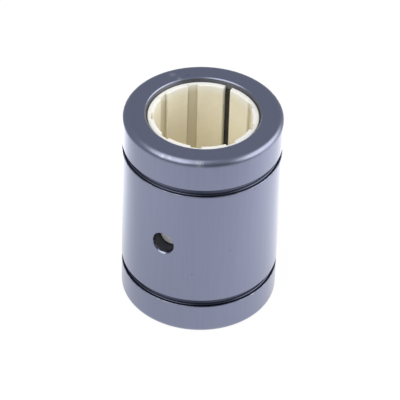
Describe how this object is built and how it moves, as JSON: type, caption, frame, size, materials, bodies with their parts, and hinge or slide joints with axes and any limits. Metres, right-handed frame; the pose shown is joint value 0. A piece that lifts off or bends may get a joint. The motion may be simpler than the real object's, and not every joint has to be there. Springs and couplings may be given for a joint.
{
  "type": "linear plain bearing",
  "caption": "Closed linear plain bearing: an anodised aluminium sleeve with outer retaining ring grooves holds a slit, grooved polymer liner that slides on a round shaft.",
  "frame": {"origin": "centre of the lower end face, on the bore's axis, so the bearing stands on z = 0", "axes": "+Z along the bore and the shaft, -Y through the radial securing hole, +Y through the liner's slit"},
  "size_m": [0.026, 0.026, 0.036],
  "materials": {
    "anodised_aluminium": "satin",
    "liner_polymer": "satin"
  },
  "bodies": {
    "root": {"adapter_shell": "anodised_aluminium", "slotted_liner": "liner_polymer"}
  },
  "joints": []
}
